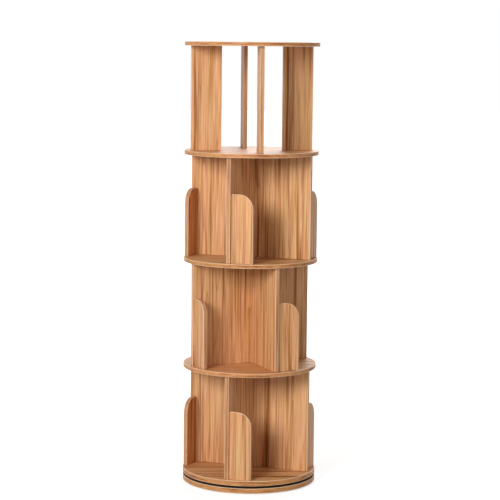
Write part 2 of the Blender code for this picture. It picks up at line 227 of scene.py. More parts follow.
def maths(tree, operation, *values):
    """A Math node; each value is a number or a link."""
    node = tree.nodes.new("ShaderNodeMath")
    node.operation = operation
    for socket, value in zip(node.inputs, values):
        if isinstance(value, bpy.types.NodeSocket):
            tree.links.new(value, socket)
        else:
            socket.default_value = value
    return node.outputs["Value"]


def ramp(tree, factor, stops):
    """A colour ramp with (position, colour) stops."""
    node = tree.nodes.new("ShaderNodeValToRGB")
    tree.links.new(factor, node.inputs["Fac"])
    elements = node.color_ramp.elements
    while len(elements) < len(stops):
        elements.new(0.5)
    for element, (position, colour) in zip(elements, stops):
        element.position = position
        element.color = (*colour, 1)
    return node.outputs["Color"]


def multiplied(tree, amount, colour, other):
    """One colour multiplied by another, by the given amount."""
    node = tree.nodes.new("ShaderNodeMix")
    node.data_type = "RGBA"
    node.blend_type = "MULTIPLY"
    node.inputs["Factor"].default_value = amount
    tree.links.new(colour, node.inputs[6])
    tree.links.new(other, node.inputs[7])
    return node.outputs[2]


def grey(value):
    """A neutral colour."""
    return (value, value, value)


WANDER_SCALE = 14.0
WANDER = 0.007
STRIPE_SCALE = 62.0
GROWTH_SCALE = 19.0
GROWTH_LINES = 17.0
GROWTH_LINE_TONES = [
    (0.0, (0.60, 0.49, 0.40)),
    (0.16, (0.90, 0.85, 0.80)),
    (0.55, grey(1.0)),
    (1.0, (0.95, 0.92, 0.90)),
]
DARK_LINE_SCALE = 112.0
DARK_LINE_TONES = [
    (0.34, (0.50, 0.36, 0.26)),
    (0.42, (0.88, 0.81, 0.74)),
    (0.47, grey(1.0)),
    (0.7, grey(1.0)),
]
FIBRE_SCALE = 420.0
FIBRE_TONES = [(0.28, (0.68, 0.59, 0.52)), (0.5, (0.97, 0.95, 0.93)), (0.75, grey(1.0))]
BOARD_TINT_SCALE = 3.1
BOARD_TINTS = [(0.3, (1.0, 0.93, 0.86)), (0.5, grey(1.0)), (0.7, (0.96, 0.98, 0.9))]
BOARD_TINT_SHARE = 0.8
FIBRE_HOLLOW_ROUGHNESS = 0.52
FIBRE_CREST_ROUGHNESS = 0.4
GROWTH_RELIEF_SHARE = 0.4
EMBOSS_STRENGTH = 0.25
EMBOSS_DEPTH = 0.0002
FILM_SPECULAR = 0.22


def wood_effect(name, grain, tones, figure, fibre, cast=(1, 1, 1), start=(0, 0, 0)):
    """The printed film: broad stripes in several tones, and over them growth lines, long dark
    lines and fine fibres. The film is embossed, so growth lines and fibres are also a low relief.
    The cast is the tone by which an edge band or a real wood differs from the film; in the upright edge
    band it is also paler for a painted sheen. Start is the place of the print from which it is cut."""
    material = bpy.data.materials.new(name)
    material.use_nodes = True
    tree = material.node_tree
    shader = tree.nodes["Principled BSDF"]
    place = add_node(tree, "ShaderNodeTexCoord").outputs["Object"]
    along = add_node(
        tree, "ShaderNodeMapping", Vector=place, Location=start, Scale=grain
    ).outputs["Vector"]
    wander = add_node(
        tree, "ShaderNodeTexNoise", Vector=along, Scale=WANDER_SCALE, Detail=1.0
    ).outputs["Color"]
    bent = add_node(tree, "ShaderNodeVectorMath", {"operation": "MULTIPLY_ADD"})
    tree.links.new(wander, bent.inputs[0])
    bent.inputs[1].default_value = grey(WANDER)
    tree.links.new(along, bent.inputs[2])
    grained = bent.outputs["Vector"]

    stripes = add_node(
        tree, "ShaderNodeTexNoise", Vector=grained, Scale=STRIPE_SCALE, Detail=2.5, Roughness=0.55
    ).outputs["Fac"]
    tinted = [(position, [part * share for part, share in zip(tone, cast)]) for position, tone in tones]
    colour = ramp(tree, stripes, tinted)

    field = add_node(
        tree, "ShaderNodeTexNoise", Vector=grained, Scale=GROWTH_SCALE, Detail=0.6
    ).outputs["Fac"]
    rings = maths(tree, "FRACT", maths(tree, "MULTIPLY", field, GROWTH_LINES))
    colour = multiplied(tree, figure, colour, ramp(tree, rings, GROWTH_LINE_TONES))

    dark_lines = add_node(
        tree, "ShaderNodeTexNoise", Vector=grained, Scale=DARK_LINE_SCALE, Detail=2.0
    ).outputs["Fac"]
    colour = multiplied(tree, figure, colour, ramp(tree, dark_lines, DARK_LINE_TONES))

    fibres = add_node(
        tree, "ShaderNodeTexNoise", Vector=grained, Scale=FIBRE_SCALE, Detail=3.0, Roughness=0.6
    ).outputs["Fac"]
    colour = multiplied(tree, fibre, colour, ramp(tree, fibres, FIBRE_TONES))

    board_tone = add_node(
        tree, "ShaderNodeTexNoise", Vector=place, Scale=BOARD_TINT_SCALE, Detail=0.0
    ).outputs["Fac"]
    colour = multiplied(tree, BOARD_TINT_SHARE, colour, ramp(tree, board_tone, BOARD_TINTS))

    tree.links.new(colour, shader.inputs["Base Color"])
    rough = add_node(
        tree,
        "ShaderNodeMapRange",
        Value=fibres,
        To_Min=FIBRE_HOLLOW_ROUGHNESS,
        To_Max=FIBRE_CREST_ROUGHNESS,
    ).outputs["Result"]
    tree.links.new(rough, shader.inputs["Roughness"])
    relief = maths(tree, "ADD", maths(tree, "MULTIPLY", rings, GROWTH_RELIEF_SHARE), fibres)
    bump = add_node(
        tree, "ShaderNodeBump", Height=relief, Strength=EMBOSS_STRENGTH, Distance=EMBOSS_DEPTH
    )
    tree.links.new(bump.outputs["Normal"], shader.inputs["Normal"])
    shader.inputs["Specular IOR Level"].default_value = FILM_SPECULAR
    return material


MOTTLE_DARK, MOTTLE_LIGHT = 0.3, 0.7
MOTTLE_STRENGTH = 0.3


def speckled(name, dark, light, scale, rough_low, rough_high, metallic=0.0, relief=0.00004):
    """A plain surface with a fine mottle in its colour, gloss and relief."""
    material = bpy.data.materials.new(name)
    material.use_nodes = True
    tree = material.node_tree
    shader = tree.nodes["Principled BSDF"]
    place = add_node(tree, "ShaderNodeTexCoord").outputs["Object"]
    mottle = add_node(tree, "ShaderNodeTexNoise", Vector=place, Scale=scale, Detail=4.0).outputs["Fac"]
    mottled = ramp(tree, mottle, [(MOTTLE_DARK, dark), (MOTTLE_LIGHT, light)])
    tree.links.new(mottled, shader.inputs["Base Color"])
    rough = add_node(tree, "ShaderNodeMapRange", Value=mottle, To_Min=rough_low, To_Max=rough_high)
    tree.links.new(rough.outputs["Result"], shader.inputs["Roughness"])
    bump = add_node(tree, "ShaderNodeBump", Height=mottle, Strength=MOTTLE_STRENGTH, Distance=relief)
    tree.links.new(bump.outputs["Normal"], shader.inputs["Normal"])
    shader.inputs["Metallic"].default_value = metallic
    return material


FACE_TONES = [
    (0.27, (0.24, 0.085, 0.027)),
    (0.36, (0.44, 0.18, 0.058)),
    (0.42, (0.64, 0.345, 0.135)),
    (0.48, (0.80, 0.47, 0.26)),
    (0.53, (0.69, 0.345, 0.175)),
    (0.59, (0.74, 0.45, 0.20)),
    (0.66, (0.52, 0.25, 0.105)),
    (0.77, (0.86, 0.55, 0.33)),
]
BAND_TONES = [
    (0.28, (0.27, 0.10, 0.034)),
    (0.41, (0.50, 0.225, 0.09)),
    (0.52, (0.625, 0.325, 0.155)),
    (0.60, (0.51, 0.24, 0.098)),
    (0.74, (0.70, 0.395, 0.21)),
]
BAND_FINENESS = 2.2
ROUND_BAND_STRETCH = 0.22
ROUND_BAND_CAST = (1.05, 1.01, 0.88)
FILM, BAND, CORE_AND_HIGHLIGHT, GAP_SHADE = range(4)
lying_film = wood_effect("wood_film_lying", (GRAIN_STRETCH, 1, 1), FACE_TONES, figure=0.75, fibre=0.8)
round_band = wood_effect(
    "edge_band_round",
    (ROUND_BAND_STRETCH, ROUND_BAND_STRETCH, BAND_FINENESS),
    BAND_TONES,
    figure=0.6,
    fibre=0.8,
    cast=ROUND_BAND_CAST,
)
# Paler skin for the trimmed arrises: partly the band's real core, partly a painted highlight along the
# rounded arris.
band_core_and_highlight = speckled(
    "edge_band_core_and_highlight",
    (0.70, 0.45, 0.27),
    (0.82, 0.56, 0.36),
    scale=700.0,
    rough_low=0.45,
    rough_high=0.6,
)
ARRIS_LEAN = 0.2
FLAT_LEAN = 0.98
EDGE_ZONE = ARRIS * 1.5
BOARD_SMOOTH_UNDER = 40
FACE_WEIGHT = 100


def edge_skin(lean):
    """The skin in a banded edge, by how far a face leans to the film: the band's print, or the paler
    core of the band, which shows where the arris is trimmed round and also paints in the highlight that
    the rounded arris catches."""
    return BAND if abs(lean) < ARRIS_LEAN else CORE_AND_HIGHLIGHT


def finish_board(board, skins, skin_at, body, node):
    """Gives each face of a board the skin at its place, and sets the board in its node's place."""
    board.data.materials.clear()
    for skin in skins:
        board.data.materials.append(skin)
    for face in board.data.polygons:
        face.material_index = skin_at(face.center, face.normal)
    only(board)
    bpy.ops.object.shade_smooth_by_angle(angle=radians(BOARD_SMOOTH_UNDER))
    apply_modifier(board, "WEIGHTED_NORMAL", keep_sharp=True, weight=FACE_WEIGHT)
    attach(board, body)
    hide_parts(node)


def finish_round_board(board, body, node, *gap_shades, shaded_side=0):
    """The same for a round board, which may have a near-black backing on the face that looks into the
    gap between the base and the bottom shelf, below or above; it paints the gap's shade.
    """
    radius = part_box(node)[1].x

    def skin_at(centre, normal):
        if centre.xy.length > radius - EDGE_ZONE and abs(normal.z) < FLAT_LEAN:
            return edge_skin(normal.z)
        return GAP_SHADE if normal.z * shaded_side > FLAT_LEAN else FILM

    finish_board(board, (lying_film, round_band, band_core_and_highlight, *gap_shades), skin_at, body, node)


base_board = round_board("base_disc", "round_base_board")
outer_screw_circle = outer_ring_high.x - RING_SCREW_INSET
drill(
    base_board,
    screw_hole(RING_SCREW_HEAD, RING_SCREW_SHANK, RING_SCREW_HEAD_HEIGHT, base_high.z - base_low.z),
    upwards(around(RING_SCREW_COUNT, outer_screw_circle, base_low.z)),
)
# Near-black backing for the base's top and the bottom shelf's underside: painted shade that darkens the
# gap between them.
painted_gap_shade = speckled(
    "painted_gap_shade",
    (0.045, 0.020, 0.008),
    (0.075, 0.036, 0.016),
    scale=260.0,
    rough_low=0.75,
    rough_high=0.9,
)
# The base's top gets the near-black backing, painted shade for the gap under the bottom shelf.
finish_round_board(base_board, "base", "base_disc", painted_gap_shade, shaded_side=1)

# Floor pads: five round pads of black rubber, stuck under the base near its rim.
# They are die cut, so the wall is plain, and wear has rounded the lower arris.
PAD_STEPS = 48
PAD_WEAR = 0.0008
PAD_COUNT = 5
SMALL_SMOOTH_UNDER = 35
rubber = speckled("pad_rubber", grey(0.012), grey(0.035), scale=900.0, rough_low=0.7, rough_high=0.9)


def finish_small(piece, material, body, slot, *nodes):
    """Gives a small piece its material and smooth shading, and sets it on its body."""
    piece.data.materials.clear()
    piece.data.materials.append(material)
    only(piece)
    bpy.ops.object.shade_smooth_by_angle(angle=radians(SMALL_SMOOTH_UNDER))
    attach(piece, body)
    if nodes:
        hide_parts(*nodes)


for number in range(1, PAD_COUNT + 1):
    low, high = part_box(f"floor_pad_{number}")
    radius = (high.x - low.x) / 2
    sections = [
        (radius, high.z),
        (radius, PAD_WEAR),
        (radius - PAD_WEAR / 2, PAD_WEAR / 3),
        (radius - PAD_WEAR, low.z),
    ]
    pad = extruded(f"rubber_pad_{number}", sections, PAD_STEPS)
    middle = (low + high) / 2
    pad.location = (middle.x, middle.y, 0)
    only(pad)
    bpy.ops.object.transform_apply(location=True)
    finish_small(pad, rubber, "base", "pad", f"floor_pad_{number}")

# Outer ring of the turntable: an aluminium section bent round and welded, with a V groove
# inside for the balls. It lies on the base disc and is screwed to it from below.
RING_STEPS = 192
RACE_GAP = 0.002
BALL_CLEARANCE = 0.0003
RING_BREAK = 0.0003
PILOT_SPARE = 0.0005
TURNING_LINE_SCALE = 2600.0
TURNING_LINE_STRENGTH = 0.2
TURNING_LINE_DEPTH = 0.00003
TURNING_ROUGH_SPREAD = 0.12
ball_low, ball_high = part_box("turntable_ball_1")
ball_radius = (ball_high.z - ball_low.z) / 2
ball_circle = (ball_low.x + ball_high.x) / 2
race_height = (ball_low.z + ball_high.z) / 2
race_depth = (ball_radius + BALL_CLEARANCE) * 2 ** 0.5 - RACE_GAP / 2


def spun(name, outline, steps):
    """A closed ring: a circle of vertices set to its section's outline of (radius, height)
    points, spun about the axis."""
    bpy.ops.mesh.primitive_circle_add(vertices=len(outline), radius=ball_radius)
    ring = begun(name)
    for vertex, (radius, height) in zip(ring.data.vertices, outline):
        vertex.co = (radius, 0, height)
    edit_edges(ring, lambda a, b: True)
    bpy.ops.mesh.spin(steps=steps, angle=2 * pi, center=(0, 0, 0), axis=(0, 0, 1), use_auto_merge=True)
    bpy.ops.mesh.select_all(action="SELECT")
    bpy.ops.mesh.remove_doubles(threshold=HAIR)
    bpy.ops.mesh.normals_make_consistent(inside=False)
    bpy.ops.object.mode_set(mode="OBJECT")
    return ring


def turned_metal(name, dark, light, roughness):
    """Bright metal with fine lines that run round the axis."""
    material = bpy.data.materials.new(name)
    material.use_nodes = True
    tree = material.node_tree
    shader = tree.nodes["Principled BSDF"]
    place = add_node(tree, "ShaderNodeTexCoord").outputs["Object"]
    parts = add_node(tree, "ShaderNodeSeparateXYZ", Vector=place)
    radius = maths(
        tree,
        "SQRT",
        maths(
            tree,
            "ADD",
            maths(tree, "MULTIPLY", parts.outputs["X"], parts.outputs["X"]),
            maths(tree, "MULTIPLY", parts.outputs["Y"], parts.outputs["Y"]),
        ),
    )
    section = add_node(tree, "ShaderNodeCombineXYZ", X=radius, Z=parts.outputs["Z"]).outputs["Vector"]
    lines = add_node(
        tree, "ShaderNodeTexNoise", Vector=section, Scale=TURNING_LINE_SCALE, Detail=2.0
    ).outputs["Fac"]
    lined = ramp(tree, lines, [(MOTTLE_DARK, dark), (MOTTLE_LIGHT, light)])
    tree.links.new(lined, shader.inputs["Base Color"])
    rough = add_node(
        tree,
        "ShaderNodeMapRange",
        Value=lines,
        To_Min=roughness,
        To_Max=roughness + TURNING_ROUGH_SPREAD,
    )
    tree.links.new(rough.outputs["Result"], shader.inputs["Roughness"])
    bump = add_node(
        tree,
        "ShaderNodeBump",
        Height=lines,
        Strength=TURNING_LINE_STRENGTH,
        Distance=TURNING_LINE_DEPTH,
    )
    tree.links.new(bump.outputs["Normal"], shader.inputs["Normal"])
    shader.inputs["Metallic"].default_value = 1.0
    return material


def bore(board, diameter, depth, places):
    """Drills plain blind holes, each down from its place."""
    radius = diameter / 2 + FIT_GAP
    drill(board, extruded("bore", [(radius, CUT_MARGIN), (radius, -depth)], SCREW_STEPS), places)


aluminium = turned_metal("turntable_aluminium", grey(0.52), grey(0.68), roughness=0.32)
outer_inside = ball_circle + RACE_GAP / 2
outer_outside = outer_ring_high.x
outer_nodes = [f"outer_ring_screw_{number}" for number in range(1, RING_SCREW_COUNT + 1)]
outer_screw_low, outer_screw_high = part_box(outer_nodes[0])
outer_ring = spun(
    "outer_ring_with_groove",
    [
        (outer_outside - RING_BREAK, outer_ring_high.z),
        (outer_outside, outer_ring_high.z - RING_BREAK),
        (outer_outside, outer_ring_low.z + RING_BREAK),
        (outer_outside - RING_BREAK, outer_ring_low.z),
        (outer_inside, outer_ring_low.z),
        (outer_inside, race_height - race_depth),
        (outer_inside + race_depth, race_height),
        (outer_inside, race_height + race_depth),
        (outer_inside, outer_ring_high.z),
    ],
    RING_STEPS,
)
bore(
    outer_ring,
    RING_SCREW_SHANK,
    outer_screw_high.z - outer_ring_low.z + PILOT_SPARE,
    upwards(around(RING_SCREW_COUNT, outer_screw_circle, outer_ring_low.z)),
)
finish_small(outer_ring, aluminium, "base", "ring", "turntable_outer_ring")

# Ring screws: zinc-plated countersunk screws with a cross recess, three up through the base
# disc into the outer ring, and later three up through the inner ring into the bottom shelf.
SCREW_RIM = 0.0003
RECESS_SHARE = 0.62
RECESS_WIDTH_SHARE = 0.16
RECESS_DEPTH_SHARE = 0.3
TIP_SHARE = 0.12
RING_SCREW_PITCH = 0.0016
THREAD_DEPTH_SHARE = 0.24
THREAD_ROWS = 4
NECK_SHARE = 0.8
RECESS_TAPER = 0.45
zinc = speckled(
    "zinc_plate",
    (0.50, 0.50, 0.47),
    (0.66, 0.66, 0.62),
    scale=1500.0,
    rough_low=0.24,
    rough_high=0.42,
    metallic=1.0,
)


def screw(head, shank, head_height, length, pitch):
    """A countersunk screw with its head's top at Z = 0 and its tip down. The rows of the threaded
    part are drawn in by how far each vertex is from the crest of the one helix."""
    thread_top = -head_height - shank * NECK_SHARE
    thread_low = shank * NECK_SHARE - length
    rows = int((thread_top - thread_low) / pitch * THREAD_ROWS)
    sections = [
        (head / 2, 0),
        (head / 2, -SCREW_RIM),
        (shank / 2, -head_height),
        (shank / 2, thread_top),
    ]
    sections += [(shank / 2, thread_top - (row + 1) * pitch / THREAD_ROWS) for row in range(rows)]
    sections += [(shank / 2 * (1 - THREAD_DEPTH_SHARE), thread_low), (shank / 2 * TIP_SHARE, -length)]
    piece = extruded("screw", sections, SCREW_STEPS)
    for vertex in piece.data.vertices:
        if thread_low + HAIR < vertex.co.z < thread_top - HAIR:
            turns = atan2(vertex.co.y, vertex.co.x) / (2 * pi) + vertex.co.z / pitch
            from_crest = abs(turns % 1 - 0.5) * 2
            vertex.co.xy = vertex.co.xy * (1 - THREAD_DEPTH_SHARE * from_crest)
    slots = []
    for turn in (0, pi / 2):
        bpy.ops.mesh.primitive_cube_add(
            size=1,
            scale=(head * RECESS_SHARE, head * RECESS_WIDTH_SHARE, head * RECESS_DEPTH_SHARE),
            rotation=(0, 0, turn),
        )
        slots.append(begun("slot"))
    for slot in slots:
        edit_faces(slot, lambda centre, normal: normal.z < FACING_DOWN)
        bpy.ops.transform.resize(value=(RECESS_TAPER, RECESS_TAPER, 1))
        bpy.ops.object.mode_set(mode="OBJECT")
        apply_modifier(piece, "BOOLEAN", operation="DIFFERENCE", solver="EXACT", object=slot)
        bpy.data.objects.remove(slot)
    return piece


def driven(pattern, place, name):
    """A copy of a screw, driven in until its head lies just below the face."""
    return copy_to(pattern, place @ Matrix.Translation((0, 0, -HEAD_SINK)), name)


def drive_ring_screws(nodes, length, places, body):
    """The screws of one ring, one to a node."""
    pattern = screw(RING_SCREW_HEAD, RING_SCREW_SHANK, RING_SCREW_HEAD_HEIGHT, length, RING_SCREW_PITCH)
    for node, place in zip(nodes, places):
        finish_small(driven(pattern, place, f"{node}_with_recess"), zinc, body, "screw", node)
    bpy.data.objects.remove(pattern)


outer_length = outer_screw_high.z - outer_screw_low.z
outer_places = upwards(around(RING_SCREW_COUNT, outer_screw_circle, base_low.z))
drive_ring_screws(outer_nodes, outer_length, outer_places, "base")

# Ball row: twelve ground steel balls in a moulded nylon cage, which spaces them round the
# groove. The cage is a thin hoop with a round pocket for each ball.
BALL_COUNT = 12
POCKET_STEPS = 24
CAGE_STEPS = 192
BALL_LEVELS = 3
nylon = speckled(
    "cage_nylon",
    (0.70, 0.67, 0.58),
    (0.82, 0.80, 0.72),
    scale=500.0,
    rough_low=0.4,
    rough_high=0.55,
)
steel = speckled(
    "ball_steel",
    grey(0.70),
    grey(0.78),
    scale=2500.0,
    rough_low=0.08,
    rough_high=0.16,
    metallic=1.0,
    relief=0.00001,
)
cage_low, cage_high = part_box("ball_cage")
cage_wall = 2 * (cage_high.x - ball_circle)
cage_inside = cage_high.x - cage_wall
cage = spun(
    "ball_cage_hoop",
    [
        (cage_high.x, cage_high.z),
        (cage_high.x, cage_low.z),
        (cage_inside, cage_low.z),
        (cage_inside, cage_high.z),
    ],
    CAGE_STEPS,
)
pocket = extruded(
    "pocket",
    [(ball_radius + BALL_CLEARANCE, cage_wall), (ball_radius + BALL_CLEARANCE, -cage_wall)],
    POCKET_STEPS,
)
ball_turns = [Matrix.Rotation(2 * pi * index / BALL_COUNT, 4, "Z") for index in range(BALL_COUNT)]
sideways = Matrix.Translation((ball_circle, 0, race_height)) @ Matrix.Rotation(pi / 2, 4, "Y")
drill(cage, pocket, [turn @ sideways for turn in ball_turns])
finish_small(cage, nylon, "ball_row", "cage", "ball_cage")

bpy.ops.mesh.primitive_cube_add(size=ball_radius * 2)
ball_pattern = begun("ball")
apply_modifier(ball_pattern, "SUBSURF", levels=BALL_LEVELS, render_levels=BALL_LEVELS)
apply_modifier(
    ball_pattern, "CAST", factor=1.0, radius=ball_radius, use_radius_as_size=True, size=ball_radius
)
for number in range(1, BALL_COUNT + 1):
    low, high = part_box(f"turntable_ball_{number}")
    ball = copy_to(ball_pattern, Matrix.Translation((low + high) / 2), f"steel_ball_{number}")
    finish_small(ball, steel, "ball_row", "ball", f"turntable_ball_{number}")
bpy.data.objects.remove(ball_pattern)

# Inner ring of the turntable: the same kind of section with its groove outside. It turns with
# the carousel, screwed up into the bottom shelf.
inner_low, inner_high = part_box("turntable_inner_ring")
inner_outside = ball_circle - RACE_GAP / 2
RING_WIDTH = 0.014
INNER_SCREW_TURN = pi / RING_SCREW_COUNT
inner_inside = inner_outside - RING_WIDTH
inner_ring = spun(
    "inner_ring_with_groove",
    [
        (inner_outside, inner_high.z),
        (inner_outside, race_height + race_depth),
        (inner_outside - race_depth, race_height),
        (inner_outside, race_height - race_depth),
        (inner_outside, inner_low.z),
        (inner_inside + RING_BREAK, inner_low.z),
        (inner_inside, inner_low.z + RING_BREAK),
        (inner_inside, inner_high.z - RING_BREAK),
        (inner_inside + RING_BREAK, inner_high.z),
    ],
    RING_STEPS,
)
inner_screw_circle = inner_inside + RING_SCREW_INSET
inner_places = upwards(around(RING_SCREW_COUNT, inner_screw_circle, inner_low.z, INNER_SCREW_TURN))
drill(
    inner_ring,
    screw_hole(RING_SCREW_HEAD, RING_SCREW_SHANK, RING_SCREW_HEAD_HEIGHT, inner_high.z - inner_low.z),
    inner_places,
)
finish_small(inner_ring, aluminium, "carousel", "ring", "turntable_inner_ring")

inner_nodes = [f"inner_ring_screw_{number}" for number in range(1, RING_SCREW_COUNT + 1)]
inner_screw_low, inner_screw_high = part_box(inner_nodes[0])
drive_ring_screws(inner_nodes, inner_screw_high.z - inner_screw_low.z, inner_places, "carousel")

# Shelves: five round panels like the base, the bottom one 15 mm and the others 12 mm thick.
# Each has countersunk holes, from below for the dividers above it and from above for those
# below it, and its screws are driven once the dividers stand.
SHELVES = ["bottom_shelf", "shelf_2", "shelf_3", "shelf_4", "top_board"]
TIER_TURNS = [-22.2, 22.8, -22.2, 5.7]
ARMS = 4
DIVIDER_REACH = 0.190
SHORT_START = 0.092
SHORT_REACH = 0.183
SHORT_OFFSET = 0.005
FULL_SCREW_REACHES = (0.045, 0.150)
SHORT_SCREW_REACHES = (0.112, 0.163)
CONNECTOR_HEAD = 0.010
CONNECTOR_SHANK = 0.005
CONNECTOR_HEAD_HEIGHT = 0.0035
CONNECTOR_LENGTH = 0.050
CONNECTOR_PITCH = 0.0022
board_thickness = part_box("shelf_2")[1].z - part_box("shelf_2")[0].z
top_tier = len(TIER_TURNS) - 1


def arm_turn(tier, arm):
    """The turn about the axis that points a divider of the tier outwards from +X."""
    return Matrix.Rotation(radians(TIER_TURNS[tier] - 90 + 360 / ARMS * arm), 4, "Z")


def screw_places(tier, height):
    """Places over the connector screws of one tier's dividers, at one height."""
    offset = SHORT_OFFSET if tier == top_tier else 0
    reaches = SHORT_SCREW_REACHES if tier == top_tier else FULL_SCREW_REACHES
    spots = [(reach, offset + board_thickness / 2, height) for reach in reaches]
    return [arm_turn(tier, arm) @ Matrix.Translation(spot) for arm in range(ARMS) for spot in spots]


connector_pattern = screw(
    CONNECTOR_HEAD, CONNECTOR_SHANK, CONNECTOR_HEAD_HEIGHT, CONNECTOR_LENGTH, CONNECTOR_PITCH
)
for index, node in enumerate(SHELVES):
    low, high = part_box(node)
    shelf = round_board(node, f"round_{node}")
    places = []
    if index < len(TIER_TURNS):
        places += upwards(screw_places(index, low.z))
    if index > 0:
        places += screw_places(index - 1, high.z)
    drill(
        shelf,
        screw_hole(CONNECTOR_HEAD, CONNECTOR_SHANK, CONNECTOR_HEAD_HEIGHT, high.z - low.z),
        places,
    )
    if index == 0:
        ring_pilots = upwards(around(RING_SCREW_COUNT, inner_screw_circle, low.z, INNER_SCREW_TURN))
        bore(shelf, RING_SCREW_SHANK, inner_screw_high.z - low.z + PILOT_SPARE, ring_pilots)
        # The bottom shelf's underside gets the near-black backing, painted shade for the gap above the
        # base.
        finish_round_board(shelf, "carousel", node, painted_gap_shade, shaded_side=-1)
    else:
        finish_round_board(shelf, "carousel", node)
    screws = [driven(connector_pattern, place, "connector_screw") for place in places]
    finish_small(joined(f"{node}_connector_screws", screws), zinc, "carousel", "screw")
bpy.data.objects.remove(connector_pattern)

# Full dividers: upright panels, four to a tier, each set against the face of the next, so that
# they close the middle and make a pinwheel. Their ends are covered by the shelves, and the
# outer edge is banded.
# Paler and greyer than the round band's cast: the upright band's colour paints in the whitish sheen
# that its edges catch.
UPRIGHT_BAND_CAST_AND_SHEEN = (0.97, 1.03, 1.16)
TIER_STARTS = [(0.31, 0.12, 0), (0.84, 0.37, 0), (0, 0, 0), (0.53, 0.71, 0)]
upright_films = [
    wood_effect(
        f"wood_film_tier_{number}",
        (1, 1, GRAIN_STRETCH),
        FACE_TONES,
        figure=0.7,
        fibre=0.8,
        start=start,
    )
    for number, start in enumerate(TIER_STARTS, 1)
]
upright_band = wood_effect(
    "edge_band_upright",
    (BAND_FINENESS, BAND_FINENESS, GRAIN_STRETCH * BAND_FINENESS),
    BAND_TONES,
    figure=0.25,
    fibre=0.5,
    cast=UPRIGHT_BAND_CAST_AND_SHEEN,
)
FULL_TIERS = 3
STOP_HEIGHT = 0.202
STOP_THICKNESS = 0.012
STOP_SETBACK = 0.0085
DOWEL_DIAMETER = 0.006
DOWEL_DEPTH_IN_DIVIDER = 0.008
DOWEL_INSET = 0.050
SAWN_BREAK = 0.0003
CORNER_OVER = 40


def upright_panel(name, low, high, banded):
    """A rectangular panel between two corners. The arrises of its banded upright edges, given by
    their reaches, are trimmed round, and the others are only broken."""
    low, high = Vector(low), Vector(high)
    bpy.ops.mesh.primitive_cube_add(size=1, location=(low + high) / 2, scale=high - low)
    board = begun(name)
    edit_edges(
        board,
        lambda a, b: abs(a.z - b.z) > HAIR and any(abs(a.x - reach) < HAIR for reach in banded),
    )
    bpy.ops.mesh.bevel(offset=ARRIS, segments=ARRIS_STEPS)
    bpy.ops.object.mode_set(mode="OBJECT")
    apply_modifier(
        board,
        "BEVEL",
        width=SAWN_BREAK,
        segments=1,
        limit_method="ANGLE",
        angle_limit=radians(CORNER_OVER),
    )
    return board


def floor_of(tier):
    """The height of a tier's floor."""
    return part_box(SHELVES[tier])[1].z


clear_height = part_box("shelf_2")[0].z - floor_of(0)
divider_low = (FIT_GAP, 0, FIT_GAP)
divider_high = (DIVIDER_REACH, board_thickness, clear_height - FIT_GAP)
divider_pattern = upright_panel("divider", divider_low, divider_high, [DIVIDER_REACH])


def pilot_places(reaches, across):
    """Places at the two ends of an upright, where its connector screws go in."""
    ends = []
    for reach in reaches:
        ends.append(Matrix.Translation((reach, across, clear_height)))
        ends += upwards([Matrix.Translation((reach, across, 0))])
    return ends


pilot_depth = CONNECTOR_LENGTH - board_thickness + PILOT_SPARE
bore(
    divider_pattern,
    CONNECTOR_SHANK,
    pilot_depth,
    pilot_places(FULL_SCREW_REACHES, board_thickness / 2),
)
stop_middle = DIVIDER_REACH - STOP_SETBACK - STOP_THICKNESS / 2
dowel_heights = (DOWEL_INSET, STOP_HEIGHT - DOWEL_INSET)
dowel_spots = [Matrix.Translation((stop_middle, board_thickness, height)) for height in dowel_heights]
out_of_face = Matrix.Rotation(-pi / 2, 4, "X")
bore(
    divider_pattern,
    DOWEL_DIAMETER,
    DOWEL_DEPTH_IN_DIVIDER + PILOT_SPARE,
    [spot @ out_of_face for spot in dowel_spots],
)
band_start = DIVIDER_REACH - EDGE_ZONE
for tier in range(FULL_TIERS):
    for arm in range(ARMS):
        turn = arm_turn(tier, arm)
        place = Matrix.Translation((0, 0, floor_of(tier))) @ turn
        divider = copy_to(divider_pattern, place, f"divider_board_{tier + 1}_{arm + 1}")
        outwards = turn @ Vector((1, 0, 0))
        across = turn @ Vector((0, 1, 0))

        def skin_at(centre, normal):
            return edge_skin(normal.dot(across)) if centre.dot(outwards) > band_start else FILM

        skins = (upright_films[tier], upright_band, band_core_and_highlight)
        finish_board(divider, skins, skin_at, "carousel", f"divider_{tier + 1}_{arm + 1}")
bpy.data.objects.remove(divider_pattern)

# Stops: low panels with one large round corner, which keep what stands in a tier from sliding
# out. Each stands on end against a divider's face near its outer edge, held by two glued dowels.
STOP_WIDTH = 0.068
STOP_CORNER = 0.042
STOP_CORNER_STEPS = 24
DOWEL_LENGTH = 0.028
DOWEL_CHAMFER = 0.0008
stop_free_side = board_thickness + STOP_WIDTH
bpy.ops.mesh.primitive_cube_add(
    size=1,
    location=(
        stop_middle,
        (board_thickness + FIT_GAP + stop_free_side) / 2,
        (FIT_GAP + STOP_HEIGHT) / 2,
    ),
    scale=(STOP_THICKNESS, STOP_WIDTH - FIT_GAP, STOP_HEIGHT - FIT_GAP),
)
stop_pattern = begun("stop")
edit_edges(
    stop_pattern,
    lambda a, b: min(a.z, b.z) > STOP_HEIGHT - HAIR and min(a.y, b.y) > stop_free_side - HAIR,
)
bpy.ops.mesh.bevel(offset=STOP_CORNER, segments=STOP_CORNER_STEPS)
bpy.ops.object.mode_set(mode="OBJECT")
apply_modifier(
    stop_pattern,
    "BEVEL",
    width=ARRIS,
    segments=ARRIS_STEPS,
    limit_method="ANGLE",
    angle_limit=radians(CORNER_OVER),
)
into_divider = Matrix.Rotation(pi / 2, 4, "X")
bore(
    stop_pattern,
    DOWEL_DIAMETER,
    DOWEL_LENGTH - DOWEL_DEPTH_IN_DIVIDER + PILOT_SPARE,
    [spot @ into_divider for spot in dowel_spots],
)
